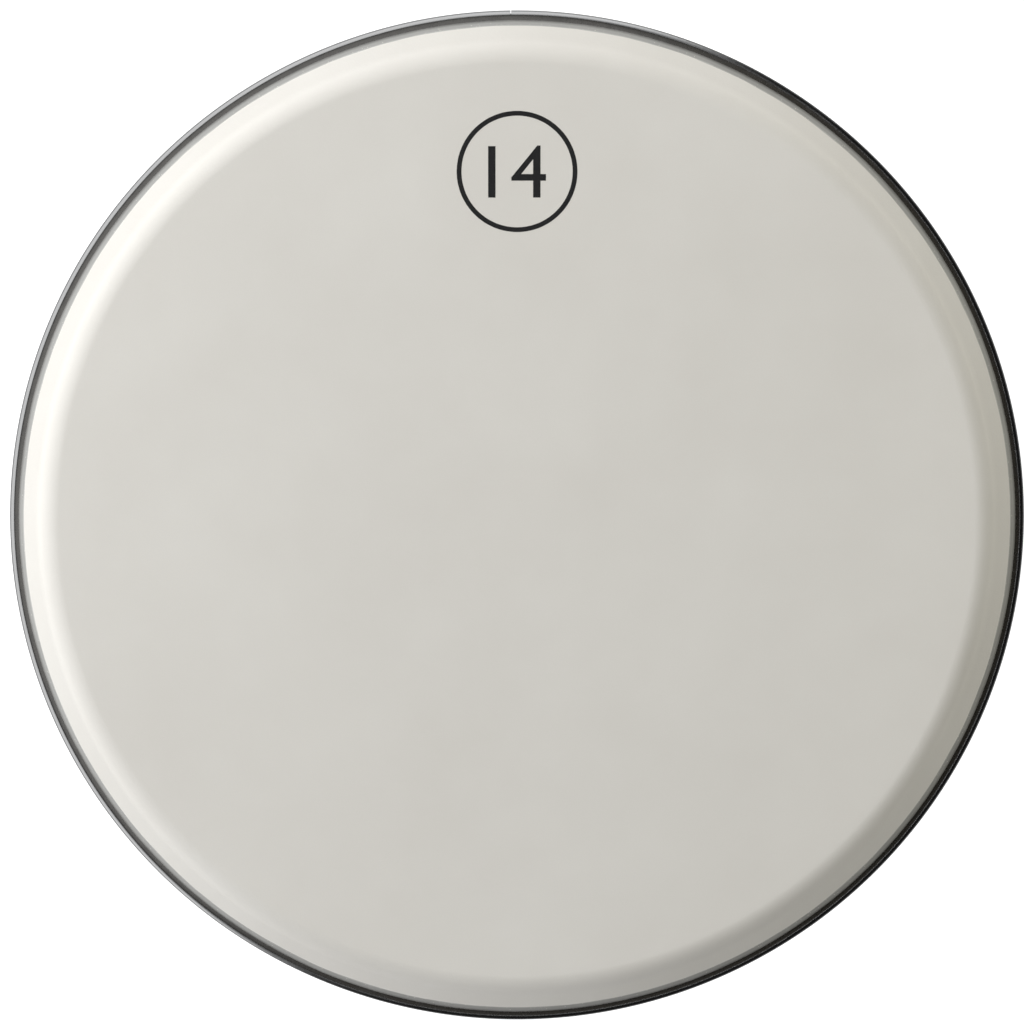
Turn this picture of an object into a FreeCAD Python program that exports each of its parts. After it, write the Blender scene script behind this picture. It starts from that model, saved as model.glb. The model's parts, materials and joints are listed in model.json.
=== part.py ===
"""Two-ply coated drum head for a 14 inch drum.

Two formed plastic films lie face to face. Their edges turn down into a rolled aluminium channel, the
flesh hoop, where cast resin runs through a row of punched holes and locks both films in place. A thin
textured coating covers the playing face and stops on the collar, a little short of the hoop.

Frame: the origin is the centre of the hoop's underside, +Z points up through the playing face and the
joint of the hoop lies towards +Y. Millimetres and degrees throughout.
"""

import FreeCAD, Part
import math
import os

import Sketcher

SIZES = {
    # Drum that the head fits over
    "shell_diameter": 355.6,
    "shell_clearance": 0.9,
    # Hoop: a channel that is open at the top, with a rolled lip on its outer wall
    "inner_wall": 1.0,
    "channel_width": 2.7,
    "outer_wall": 1.1,
    "hoop_base": 1.2,
    "hoop_height": 8.0,
    "inner_wall_drop": 1.2,
    "foot_round": 0.6,
    "lip_overhang": 0.6,
    "lip_depth": 1.2,
    "lip_round": 1.1,
    "lip_edge": 0.2,
    "seam_gap": 0.25,
    "seam_direction": 90.7,
    # Films, measured on the outer face of the top ply
    "film_thickness": 0.19,
    "film_wall_gap": 0.1,
    "collar_rise": 11.35,
    "exit_rise": 0.6,
    "shoulder_radius": 9.5,
    "shoulder_angle": 48.0,
    "flare_radius": 12.0,
    "collar_angle": 36.0,
    "turn_radius": 2.0,
    "tail_gap": 1.0,
    # Holes punched through the edge of both films
    "hole_diameter": 2.4,
    "hole_inset": 2.0,
    "hole_count": 72,
    # Coating on the playing face
    "coating_thickness": 0.08,
    "bare_band": 2.3,
    # Resin cast into the channel
    "resin_drop": 0.3,
    "resin_climb": 0.6,
    "meniscus_radius": 3.0,
}

DERIVED = {
    "bore_radius": "Sizes.shell_diameter / 2 + Sizes.shell_clearance",
    "channel_inside": "bore_radius + Sizes.inner_wall",
    "channel_outside": "channel_inside + Sizes.channel_width",
    "hoop_radius": "channel_outside + Sizes.outer_wall",
    "hoop_sweep": "360 - Sizes.seam_gap / hoop_radius * 180 / pi",
    "lip_nose": "channel_outside - Sizes.lip_overhang",
    "lip_underside": "Sizes.hoop_height - Sizes.lip_depth",
    "inner_wall_spring": "Sizes.hoop_height - Sizes.inner_wall_drop - Sizes.inner_wall / 2",
    "tail_radius": "channel_inside + Sizes.film_wall_gap + 2 * Sizes.film_thickness",
    "tail_end": "Sizes.hoop_base + Sizes.tail_gap",
    "hole_height": "tail_end + Sizes.hole_inset",
    "face_height": "Sizes.hoop_height + Sizes.collar_rise",
    "shoulder_run": "Sizes.shoulder_radius * sin(Sizes.shoulder_angle * 1 deg)",
    "shoulder_fall": "Sizes.shoulder_radius * (1 - cos(Sizes.shoulder_angle * 1 deg))",
    "flare_run": "Sizes.flare_radius"
    " * (sin(Sizes.shoulder_angle * 1 deg) - sin(Sizes.collar_angle * 1 deg))",
    "flare_fall": "Sizes.flare_radius"
    " * (cos(Sizes.collar_angle * 1 deg) - cos(Sizes.shoulder_angle * 1 deg))",
    "turn_run": "Sizes.turn_radius * (1 - sin(Sizes.collar_angle * 1 deg))",
    "turn_fall": "Sizes.turn_radius * cos(Sizes.collar_angle * 1 deg)",
    "collar_fall": "Sizes.collar_rise - Sizes.exit_rise - shoulder_fall - flare_fall - turn_fall",
    "collar_run": "collar_fall / tan(Sizes.collar_angle * 1 deg)",
    "flat_radius": "tail_radius - turn_run - collar_run - flare_run - shoulder_run",
    "coating_edge": "tail_radius - Sizes.bare_band",
    "resin_level": "Sizes.hoop_height - Sizes.resin_drop",
    "resin_crest": "resin_level + Sizes.resin_climb",
}

# Sketcher numbers the places on a line or arc from 1, and its own axes from -1 downwards
START, END, CENTRE = range(1, 4)
HORIZONTAL_AXIS, VERTICAL_AXIS = range(-1, -3, -1)

doc = FreeCAD.newDocument("drum_head")


def write_sheet(name, cells):
    """Makes a spreadsheet with a name in column A and its value, under that alias, in column B."""
    sheet = doc.addObject("Spreadsheet::Sheet", name)
    for row, (alias, content) in enumerate(cells.items(), start=1):
        sheet.set(f"A{row}", alias)
        sheet.set(f"B{row}", content)
        sheet.setAlias(f"B{row}", alias)
    doc.recompute()
    return sheet


write_sheet("Sizes", {alias: str(value) for alias, value in SIZES.items()})
derived = write_sheet("Derived", {alias: "=" + formula for alias, formula in DERIVED.items()})


def number(formula):
    """The present value of a formula of the sheets' cells."""
    return float(derived.evalExpression(formula))


def point(x, y):
    return FreeCAD.Vector(x, y, 0)


def on_circle(centre, radius, degrees):
    angle = math.radians(degrees)
    return centre + point(radius * math.cos(angle), radius * math.sin(angle))


def origin_feature(body, role):
    return next(feature for feature in body.Origin.OriginFeatures if feature.Role == role)


def new_body(label):
    body = doc.addObject("PartDesign::Body", label)
    body.Label = label
    return body


def new_sketch(body, name, plane):
    sketch = body.newObject("Sketcher::SketchObject", name)
    sketch.AttachmentSupport = [(origin_feature(body, plane), "")]
    sketch.MapMode = "FlatFace"
    return sketch


def line(sketch, start, end):
    return sketch.addGeometry(Part.LineSegment(start, end), False)


def arc(sketch, centre, radius, first, last):
    """An arc that runs anticlockwise from one angle to another, in degrees."""
    circle = Part.Circle(centre, FreeCAD.Vector(0, 0, 1), radius)
    return sketch.addGeometry(Part.ArcOfCircle(circle, math.radians(first), math.radians(last)), False)


def meet(sketch, one, one_end, other, other_end):
    sketch.addConstraint(Sketcher.Constraint("Coincident", one, one_end, other, other_end))


def flow(sketch, one, one_end, other, other_end):
    """Joins two ends so that one piece of the outline runs on smoothly into the other."""
    sketch.addConstraint(Sketcher.Constraint("Tangent", one, one_end, other, other_end))


def direct(sketch, kind, *pieces):
    for piece in pieces:
        sketch.addConstraint(Sketcher.Constraint(kind, piece))


def bind(sketch, kind, name, formula, *target):
    """Adds a named dimension that follows a formula of the sheets' cells."""
    value = number(formula)
    if kind == "Angle":
        value = math.radians(value)
    index = sketch.addConstraint(Sketcher.Constraint(kind, *target, value))
    sketch.renameConstraint(index, name)
    sketch.setExpression(f"Constraints.{name}", formula)


def close_sketch(sketch):
    doc.recompute()
    if sketch.solve() != 0 or not sketch.FullyConstrained:
        raise RuntimeError(f"{sketch.Label} isn't fully set by its dimensions")


def revolve(body, sketch, name, sweep="360"):
    """Turns a profile about the upright axis, equally far to both sides of its plane."""
    turned = body.newObject("PartDesign::Revolution", name)
    turned.Profile = sketch
    turned.ReferenceAxis = (sketch, ["V_Axis"])
    turned.Midplane = True
    turned.setExpression("Angle", sweep)
    sketch.Visibility = False
    doc.recompute()
    return turned


def hoop_profile(sketch):
    """The channel's section: bore face, foot, outer wall, rolled lip, trough and inner wall."""
    bore = number("Derived.bore_radius")
    inside = number("Derived.channel_inside")
    outside = number("Derived.channel_outside")
    rim = number("Derived.hoop_radius")
    nose = number("Derived.lip_nose")
    top = number("Sizes.hoop_height")
    under_lip = number("Derived.lip_underside")
    floor = number("Sizes.hoop_base")
    spring = number("Derived.inner_wall_spring")
    foot, crown, edge = (number(f"Sizes.{name}") for name in ("foot_round", "lip_round", "lip_edge"))

    underside = line(sketch, point(bore + foot, 0), point(rim - foot, 0))
    outer_foot = arc(sketch, point(rim - foot, foot), foot, -90, 0)
    outer_face = line(sketch, point(rim, foot), point(rim, top - crown))
    lip_crown = arc(sketch, point(rim - crown, top - crown), crown, 0, 90)
    lip_top = line(sketch, point(rim - crown, top), point(nose + edge, top))
    nose_round = arc(sketch, point(nose + edge, top - edge), edge, 90, 180)
    nose_face = line(sketch, point(nose, top - edge), point(nose, under_lip))
    lip_below = line(sketch, point(nose, under_lip), point(outside, under_lip))
    trough_outer = line(sketch, point(outside, under_lip), point(outside, floor))
    trough_floor = line(sketch, point(outside, floor), point(inside, floor))
    trough_inner = line(sketch, point(inside, floor), point(inside, spring))
    wall_top = arc(sketch, point((bore + inside) / 2, spring), (inside - bore) / 2, 0, 180)
    bore_face = line(sketch, point(bore, spring), point(bore, foot))
    inner_foot = arc(sketch, point(bore + foot, foot), foot, 180, 270)

    rounds_on = [underside, outer_foot, outer_face, lip_crown, lip_top, nose_round, nose_face]
    for one, other in zip(rounds_on, rounds_on[1:]):
        flow(sketch, one, END, other, START)
    corners = [nose_face, lip_below, trough_outer, trough_floor, trough_inner]
    for one, other in zip(corners, corners[1:]):
        meet(sketch, one, END, other, START)
    rounds_back = [trough_inner, wall_top, bore_face, inner_foot, underside]
    for one, other in zip(rounds_back, rounds_back[1:]):
        flow(sketch, one, END, other, START)

    direct(sketch, "Horizontal", underside, lip_top, lip_below, trough_floor)
    direct(sketch, "Vertical", outer_face, nose_face, trough_outer, trough_inner, bore_face)
    sketch.addConstraint(Sketcher.Constraint("PointOnObject", underside, START, HORIZONTAL_AXIS))
    sketch.addConstraint(Sketcher.Constraint("Equal", inner_foot, outer_foot))
    bind(sketch, "DistanceX", "bore", "Derived.bore_radius", bore_face, START)
    bind(sketch, "DistanceX", "trough_inside", "Derived.channel_inside", trough_inner, START)
    bind(sketch, "DistanceX", "trough_outside", "Derived.channel_outside", trough_outer, START)
    bind(sketch, "DistanceX", "rim", "Derived.hoop_radius", outer_face, START)
    bind(sketch, "DistanceX", "nose", "Derived.lip_nose", nose_face, END)
    bind(sketch, "DistanceY", "height", "Sizes.hoop_height", lip_top, START)
    bind(sketch, "DistanceY", "under_lip", "Derived.lip_underside", lip_below, START)
    bind(sketch, "DistanceY", "floor", "Sizes.hoop_base", trough_floor, START)
    bind(sketch, "DistanceY", "spring", "Derived.inner_wall_spring", wall_top, START)
    bind(sketch, "Radius", "foot_radius", "Sizes.foot_round", outer_foot)
    bind(sketch, "Radius", "crown_radius", "Sizes.lip_round", lip_crown)
    bind(sketch, "Radius", "edge_radius", "Sizes.lip_edge", nose_round)


def make_hoop():
    """The flesh hoop: a channel rolled into a ring whose two ends butt together at the joint."""
    body = new_body("flesh_hoop")
    sketch = new_sketch(body, "hoop_section", "XZ_Plane")
    hoop_profile(sketch)
    close_sketch(sketch)
    revolve(body, sketch, "hoop_ring", "Derived.hoop_sweep")
    body.Placement = FreeCAD.Placement(point(0, 0), FreeCAD.Rotation(FreeCAD.Vector(0, 0, 1), 0))
    body.setExpression("Placement.Rotation.Angle", "Sizes.seam_direction - 180")
    return body


def collar_shape(depth):
    """Corner points and arc centres of a face that lies a given depth under the top ply's outer face."""
    steep, gentle = number("Sizes.shoulder_angle"), number("Sizes.collar_angle")
    face, flat = number("Derived.face_height"), number("Derived.flat_radius")
    shoulder, flare, turn = (number(f"Sizes.{name}_radius") for name in ("shoulder", "flare", "turn"))
    shoulder_centre = point(flat, face - shoulder)
    flare_centre = on_circle(shoulder_centre, shoulder + flare, 90 - steep)
    flare_end = on_circle(flare_centre, flare, 270 - gentle)
    run = point(number("Derived.collar_run"), -number("Derived.collar_fall"))
    turn_centre = on_circle(flare_end + run, turn, 270 - gentle)
    return {
        "axis": point(0, face - depth),
        "flat_end": point(flat, face - depth),
        "shoulder": (shoulder_centre, shoulder - depth, 90 - steep, 90),
        "flare": (flare_centre, flare + depth, 270 - steep, 270 - gentle),
        "collar_top": on_circle(flare_centre, flare + depth, 270 - gentle),
        "collar_foot": on_circle(turn_centre, turn - depth, 90 - gentle),
        "turn": (turn_centre, turn - depth, 0, 90 - gentle),
        "tail_top": on_circle(turn_centre, turn - depth, 0),
        "tail_end": point(number("Derived.tail_radius") - depth, number("Derived.tail_end")),
    }


def draw_dome(sketch, shape, collar_foot):
    """The flat face, its rounded shoulder, the flare and the sloping collar of one side of a layer."""
    flat = line(sketch, shape["axis"], shape["flat_end"])
    shoulder = arc(sketch, *shape["shoulder"])
    flare = arc(sketch, *shape["flare"])
    collar = line(sketch, shape["collar_top"], collar_foot)
    flow(sketch, flat, END, shoulder, END)
    flow(sketch, shoulder, START, flare, START)
    flow(sketch, flare, END, collar, START)
    direct(sketch, "Horizontal", flat)
    sketch.addConstraint(Sketcher.Constraint("PointOnObject", flat, START, VERTICAL_AXIS))
    return flat, shoulder, flare, collar


def axis_end(sketch, side):
    return sketch.getPoint(side[0], START)


def set_dome(sketch, over, under, over_depth, under_depth):
    """Dimensions of the two sides of a layer, which share their arcs' centres."""
    bind(sketch, "DistanceX", "flat_radius", "Derived.flat_radius", over[1], CENTRE)
    bind(sketch, "Radius", "shoulder_radius", f"Sizes.shoulder_radius - ({over_depth})", over[1])
    bind(sketch, "Radius", "flare_radius", f"Sizes.flare_radius + ({over_depth})", over[2])
    bind(sketch, "Angle", "shoulder_angle", "Sizes.shoulder_angle", over[1])
    bind(sketch, "Angle", "flare_angle", "Sizes.shoulder_angle - Sizes.collar_angle", over[2])
    bind(sketch, "DistanceY", "over_face", f"Derived.face_height - ({over_depth})", over[0], START)
    bind(sketch, "DistanceY", "under_face", f"Derived.face_height - ({under_depth})", under[0], START)
    for one, other in zip(over[1:3], under[1:3]):
        meet(sketch, one, CENTRE, other, CENTRE)
    axis_side = line(sketch, axis_end(sketch, under), axis_end(sketch, over))
    meet(sketch, axis_side, START, under[0], START)
    meet(sketch, axis_side, END, over[0], START)


def draw_tail(sketch, shape, collar):
    """The turn from the collar down into the channel and the upright tail below it."""
    turn = arc(sketch, *shape["turn"])
    tail = line(sketch, shape["tail_top"], shape["tail_end"])
    flow(sketch, collar, END, turn, END)
    flow(sketch, turn, START, tail, START)
    direct(sketch, "Vertical", tail)
    return turn, tail


def punch_holes(body):
    """A ring of holes through the tail, which the resin runs through."""
    sketch = new_sketch(body, "edge_hole", "YZ_Plane")
    circle = Part.Circle(point(0, number("Derived.hole_height")), FreeCAD.Vector(0, 0, 1),
                         number("Sizes.hole_diameter / 2"))
    hole = sketch.addGeometry(circle, False)
    sketch.addConstraint(Sketcher.Constraint("PointOnObject", hole, CENTRE, VERTICAL_AXIS))
    bind(sketch, "DistanceY", "height", "Derived.hole_height", hole, CENTRE)
    bind(sketch, "Diameter", "diameter", "Sizes.hole_diameter", hole)
    sketch.setExpression("AttachmentOffset.Base.z", "Derived.tail_radius + Sizes.film_thickness")
    close_sketch(sketch)
    before = body.Shape.Volume
    punch = body.newObject("PartDesign::Pocket", "punched_hole")
    punch.Profile = sketch
    punch.setExpression("Length", "4 * Sizes.film_thickness")
    sketch.Visibility = False
    doc.recompute()
    if not body.Shape.Volume < before:
        raise RuntimeError(f"{body.Label}: the edge hole cuts nothing")
    ring = body.newObject("PartDesign::PolarPattern", "hole_ring")
    ring.Originals = [punch]
    ring.Axis = (origin_feature(body, "Z_Axis"), [""])
    ring.Angle = 360
    ring.setExpression("Occurrences", "Sizes.hole_count")
    body.Tip = ring
    doc.recompute()


def make_ply(label, over_depth, under_depth):
    """One formed film, whose two faces lie at the given depths under the top ply's outer face."""
    body = new_body(label)
    sketch = new_sketch(body, f"{label}_section", "XZ_Plane")
    shapes = [collar_shape(number(depth)) for depth in (over_depth, under_depth)]
    sides = [draw_dome(sketch, shape, shape["collar_foot"]) for shape in shapes]
    tails = [draw_tail(sketch, shape, side[-1]) for shape, side in zip(shapes, sides)]
    set_dome(sketch, *sides, over_depth, under_depth)
    meet(sketch, tails[0][0], CENTRE, tails[1][0], CENTRE)
    bind(sketch, "Radius", "turn_radius", f"Sizes.turn_radius - ({over_depth})", tails[0][0])
    bind(sketch, "DistanceX", "over_tail", f"Derived.tail_radius - ({over_depth})", tails[0][1], END)
    bind(sketch, "DistanceX", "under_tail", f"Derived.tail_radius - ({under_depth})", tails[1][1], END)
    bind(sketch, "DistanceY", "tail_end", "Derived.tail_end", tails[0][1], END)
    tail_edge = line(sketch, shapes[0]["tail_end"], shapes[1]["tail_end"])
    meet(sketch, tail_edge, START, tails[0][1], END)
    meet(sketch, tail_edge, END, tails[1][1], END)
    direct(sketch, "Horizontal", tail_edge)
    close_sketch(sketch)
    revolve(body, sketch, f"{label}_film")
    punch_holes(body)
    return body


def make_coating():
    """The textured coat on the top ply, which ends square on the collar short of the hoop."""
    body = new_body("batter_coating")
    sketch = new_sketch(body, "coating_section", "XZ_Plane")
    over_depth, under_depth = "-Sizes.coating_thickness", "0"
    gentle = math.radians(number("Sizes.collar_angle"))
    under_shape = collar_shape(0)
    reach = (number("Derived.coating_edge") - under_shape["collar_top"].x) / math.cos(gentle)
    down = point(math.cos(gentle), -math.sin(gentle)) * reach
    over_shape = collar_shape(number(over_depth))
    over = draw_dome(sketch, over_shape, over_shape["collar_top"] + down)
    under = draw_dome(sketch, under_shape, under_shape["collar_top"] + down)
    set_dome(sketch, over, under, over_depth, under_depth)
    edge = line(sketch, over_shape["collar_top"] + down, under_shape["collar_top"] + down)
    meet(sketch, edge, START, over[3], END)
    meet(sketch, edge, END, under[3], END)
    sketch.addConstraint(Sketcher.Constraint("Perpendicular", edge, under[3]))
    sketch.addConstraint(Sketcher.Constraint("Parallel", over[3], under[3]))
    bind(sketch, "DistanceX", "edge", "Derived.coating_edge", under[3], END)
    close_sketch(sketch)
    revolve(body, sketch, "coating_skin")
    return body


def make_resin(hoop, plies):
    """The cast resin: the pour fills the channel and climbs the films; hoop and films are cut out of it."""
    body = new_body("resin_pour")
    sketch = new_sketch(body, "pour_section", "XZ_Plane")
    inner = number("Derived.channel_inside - Sizes.inner_wall / 2")
    outer = number("Derived.channel_outside")
    between = number("Derived.tail_radius - Sizes.film_thickness")
    bottom = number("Sizes.hoop_base / 2")
    spring = number("Derived.inner_wall_spring")
    radius = number("Sizes.meniscus_radius")
    film_side = point(between, number("Derived.resin_crest"))
    lip_side = point(outer, number("Derived.resin_level"))
    half = (lip_side - film_side) / 2
    upwards = point(-half.y, half.x) / half.Length
    middle = film_side + half + upwards * math.sqrt(radius**2 - half.Length**2)
    lowest = 270 + math.degrees(math.atan2(half.y, half.x))
    spread = math.degrees(math.asin(half.Length / radius))

    floor = line(sketch, point(inner, bottom), point(outer, bottom))
    outside = line(sketch, point(outer, bottom), lip_side)
    meniscus = arc(sketch, middle, radius, lowest - spread, lowest + spread)
    step = line(sketch, film_side, point(between, spring))
    shelf = line(sketch, point(between, spring), point(inner, spring))
    inside = line(sketch, point(inner, spring), point(inner, bottom))
    meet(sketch, floor, END, outside, START)
    meet(sketch, outside, END, meniscus, END)
    meet(sketch, meniscus, START, step, START)
    loop = [step, shelf, inside, floor]
    for one, other in zip(loop, loop[1:]):
        meet(sketch, one, END, other, START)
    direct(sketch, "Horizontal", floor, shelf)
    direct(sketch, "Vertical", outside, step, inside)
    bind(sketch, "DistanceX", "inside", "Derived.channel_inside - Sizes.inner_wall / 2", inside, END)
    bind(sketch, "DistanceX", "outside", "Derived.channel_outside", outside, START)
    bind(sketch, "DistanceX", "between", "Derived.tail_radius - Sizes.film_thickness", step, START)
    bind(sketch, "DistanceY", "bottom", "Sizes.hoop_base / 2", floor, START)
    bind(sketch, "DistanceY", "outer_level", "Derived.resin_level", outside, END)
    bind(sketch, "DistanceY", "inner_level", "Derived.inner_wall_spring", shelf, START)
    bind(sketch, "DistanceY", "film_level", "Derived.resin_crest", step, START)
    bind(sketch, "Radius", "meniscus_radius", "Sizes.meniscus_radius", meniscus)
    close_sketch(sketch)
    revolve(body, sketch, "pour_ring")
    resin = body
    for tool in (hoop, *plies):
        rest = doc.addObject("Part::Cut", f"resin_around_{tool.Label}")
        rest.Base = resin
        rest.Tool = tool
        resin = rest
    doc.recompute()
    resin.Label = "resin_bed"
    return resin


def check(parts):
    """Stops the build if an object failed or a piece isn't one sound solid."""
    for thing in doc.Objects:
        if {"Invalid", "Error"} & set(thing.State):
            raise RuntimeError(f"{thing.Label} failed: {thing.State}")
    for part in parts:
        shape = part.Shape
        if shape.isNull() or not shape.isValid() or len(shape.Solids) != 1:
            raise RuntimeError(f"{part.Label} isn't one sound solid")


def main():
    hoop = make_hoop()
    top_ply = make_ply("top_ply", "0", "Sizes.film_thickness")
    bottom_ply = make_ply("bottom_ply", "Sizes.film_thickness", "2 * Sizes.film_thickness")
    coating = make_coating()
    resin = make_resin(hoop, (top_ply, bottom_ply))
    doc.recompute()
    parts = [hoop, top_ply, bottom_ply, coating, resin]
    check(parts)
    os.makedirs("parts", exist_ok=True)
    for part in parts:
        part.Shape.exportStep(f"parts/{part.Label}.step")
        print(f"{part.Label}: {part.Shape.Volume:.1f} mm3")


main()
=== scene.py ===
"""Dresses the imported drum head: metal hoop, formed films, sprayed coating, cast resin and a size mark."""

import json
import math

import bmesh
import bpy
from bpy.props import FloatProperty, FloatVectorProperty, IntProperty, PointerProperty, StringProperty
from bpy.types import Operator, Panel, PropertyGroup
from mathutils import Matrix, Vector


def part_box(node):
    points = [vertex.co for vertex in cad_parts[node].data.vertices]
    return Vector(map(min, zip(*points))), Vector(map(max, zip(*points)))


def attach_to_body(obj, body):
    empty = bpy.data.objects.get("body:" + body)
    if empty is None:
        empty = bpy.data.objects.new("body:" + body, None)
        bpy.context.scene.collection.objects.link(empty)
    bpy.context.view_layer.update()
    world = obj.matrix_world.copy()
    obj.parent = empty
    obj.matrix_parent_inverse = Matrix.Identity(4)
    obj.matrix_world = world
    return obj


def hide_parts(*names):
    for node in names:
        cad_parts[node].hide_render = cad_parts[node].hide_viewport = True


bl_info = {
    "name": "Drum head",
    "version": (1, 0, 0),
    "blender": (4, 5, 0),
    "location": "View3D > Sidebar > Drum head",
    "description": "Builds the visible pieces of a coated drum head and its studio",
    "category": "Object",
}

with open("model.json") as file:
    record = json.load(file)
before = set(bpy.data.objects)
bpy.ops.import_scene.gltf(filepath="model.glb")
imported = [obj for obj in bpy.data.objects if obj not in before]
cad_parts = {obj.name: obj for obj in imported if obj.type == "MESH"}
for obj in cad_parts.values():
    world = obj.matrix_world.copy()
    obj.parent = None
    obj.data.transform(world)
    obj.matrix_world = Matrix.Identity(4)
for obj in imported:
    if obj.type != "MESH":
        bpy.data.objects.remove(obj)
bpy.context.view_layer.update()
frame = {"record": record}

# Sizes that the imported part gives, in metres
MOUNTS = {mount["name"]: mount for mount in frame["record"]["mounts"]}
BORE_RADIUS = MOUNTS["shell_bore"]["dims"]["r_mm"] / 1000
RIM_RADIUS = MOUNTS["rim_guide"]["dims"]["r_mm"] / 1000
HOOP_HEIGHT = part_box("flesh_hoop")[1].z
TAIL_RADIUS = -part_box("top_ply")[0].x
TAIL_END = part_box("top_ply")[0].z
FACE_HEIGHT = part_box("top_ply")[1].z
COATING_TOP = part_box("batter_coating")[1].z
COATING_EDGE = -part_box("batter_coating")[0].x

# Steps along each rounded stretch of a section
SHOULDER_STEPS = 20
FLARE_STEPS = 8
TURN_STEPS = 14
FOOT_STEPS = 8
CROWN_STEPS = 16
EDGE_STEPS = 6
WALL_STEPS = 12
DIP_STEPS = 10

# Steps around the printed ring
RING_STEPS = 144

# Rings of points on the flat face, as shares of its radius
FACE_RINGS = (0.0, 0.3, 0.6, 0.85)

# How the coating thins out: distance back from its edge and height, in thicknesses of the coat
EDGE_PROFILE = ((0.0, 0.0), (1.5, 0.45), (3.0, 0.8), (4.5, 0.97), (6.0, 1.0))

# Share of the straight collar from which the coating follows its wandering edge
FOLLOW_FROM = 0.6

# Points that lie closer than this are welded, in metres
WELD_DISTANCE = 1e-6

# Range that most values of a noise lie in, and the gain that brings them to full swing
NOISE_LOW = 0.3
NOISE_HIGH = 0.7
NOISE_GAIN = 4.0

# Seeds of the random patterns
EDGE_SEED = 3
DROPS_SEED = 11

# How far a direction leans towards the room's lit side where the room starts and ends to brighten
DIM_UNTIL = -0.08
LIT_FROM = 0.16

# Half the height of the soft horizon, as a share of straight up
HORIZON = 0.02

# Width of the camera's sensor, in millimetres
SENSOR_WIDTH = 36.0


def length(name, description, default):
    """A length in metres that the sidebar shows in the scene's unit."""
    return FloatProperty(name=name, description=description, default=default, unit="LENGTH", precision=5)


def angle(name, description, degrees):
    return FloatProperty(name=name, description=description, default=math.radians(degrees), subtype="ANGLE")


def amount(name, description, default):
    return FloatProperty(name=name, description=description, default=default, min=0.0)


def pair(name, description, default):
    """Two lengths in metres."""
    return FloatVectorProperty(name=name, description=description, default=default, size=2, unit="LENGTH")


def colour(name, description, default):
    return FloatVectorProperty(
        name=name, description=description, default=default, size=3, min=0.0, max=1.0, subtype="COLOR"
    )


class HoopSettings(PropertyGroup):
    """Section and finish of the rolled channel at the rim."""

    bore_radius: length("Bore radius", "Radius of the hoop's inner face", BORE_RADIUS)
    rim_radius: length("Rim radius", "Radius of the hoop's outer face", RIM_RADIUS)
    height: length("Height", "Height of the lip above the underside", HOOP_HEIGHT)
    inner_wall: length("Inner wall", "Thickness of the inner wall", 0.0010)
    outer_wall: length("Outer wall", "Thickness of the outer wall", 0.0011)
    base: length("Base", "Thickness of the channel's floor", 0.0012)
    inner_drop: length("Inner drop", "How far the inner wall ends under the lip's top", 0.0012)
    foot_round: length("Foot round", "Radius of the two lower corners", 0.0006)
    lip_overhang: length("Lip overhang", "How far the lip reaches in over the channel", 0.0006)
    lip_depth: length("Lip depth", "Height of the lip's inner end", 0.0012)
    lip_round: length("Lip round", "Radius of the lip's outer shoulder", 0.0015)
    lip_edge: length("Lip edge", "Radius of the lip's inner edge", 0.00005)
    seam_gap: length("Seam gap", "Width of the gap between the hoop's two ends", 0.00025)
    seam_direction: angle("Seam direction", "Where the two ends meet, from +X towards +Y", 90.7)
    metal: colour("Metal", "Colour of the bright metal", (0.80, 0.805, 0.81))
    dull_metal: colour("Dull metal", "Colour of the duller rolling streaks", (0.68, 0.685, 0.69))
    streak: length("Streak", "Width of the finest rolling streaks", 0.00016)
    band: length("Band", "Width of the broader rolling bands", 0.0009)
    patch: length("Patch", "Size of the dull patches", 0.011)
    stretch: amount("Stretch", "How many times longer than wide the streaks are", 150.0)
    streak_relief: length("Streak relief", "Depth of the streaks", 0.00001)


class FilmSettings(PropertyGroup):
    """Formed shape and finish of the two films."""

    thickness: length("Thickness", "Thickness of one film", 0.00019)
    face_height: length("Face height", "Height of the top film's flat face", FACE_HEIGHT)
    tail_radius: length("Tail radius", "Outer radius of the top film's upright tail", TAIL_RADIUS)
    tail_end: length("Tail end", "Height of the tail's lower edge", TAIL_END)
    exit_rise: length("Exit rise", "Height above the lip where the tail starts to turn in", 0.0006)
    shoulder_radius: length("Shoulder radius", "Radius of the bend between face and collar", 0.0095)
    shoulder_angle: angle("Shoulder angle", "Steepest slope, at the end of the shoulder", 48.0)
    flare_radius: length("Flare radius", "Radius of the hollow bend under the shoulder", 0.012)
    collar_angle: angle("Collar angle", "Slope of the straight collar", 36.0)
    turn_radius: length("Turn radius", "Radius of the bend from collar to tail", 0.0020)
    # The bare film's grey is partly the film's own milky tone and partly painted shade of the gap seen
    # through it.
    bare: colour("Bare film", "Colour of the film where no coating backs it", (0.33, 0.327, 0.315))
    # Painted shade: the film's colour darkened to near black where it dips into the channel.
    channel_shade: colour("Deep film", "Colour of the film where it dips into the channel", (0.10, 0.098, 0.092))
    backed: colour("Backed film", "Colour of the film with the coating behind it", (0.66, 0.655, 0.63))
    backing_stray: length("Backing stray", "How far the pale backing strays about the coating's edge", 0.0006)
    backing_fade: length("Backing fade", "How far inside that edge the film starts to darken", 0.0005)
    haze: length("Haze", "Size of the cloudy patches", 0.02)
    ripple: length("Ripple", "Size of the faint ripples", 0.0015)
    ripple_relief: length("Ripple relief", "Height of the ripples", 0.000004)


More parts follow.
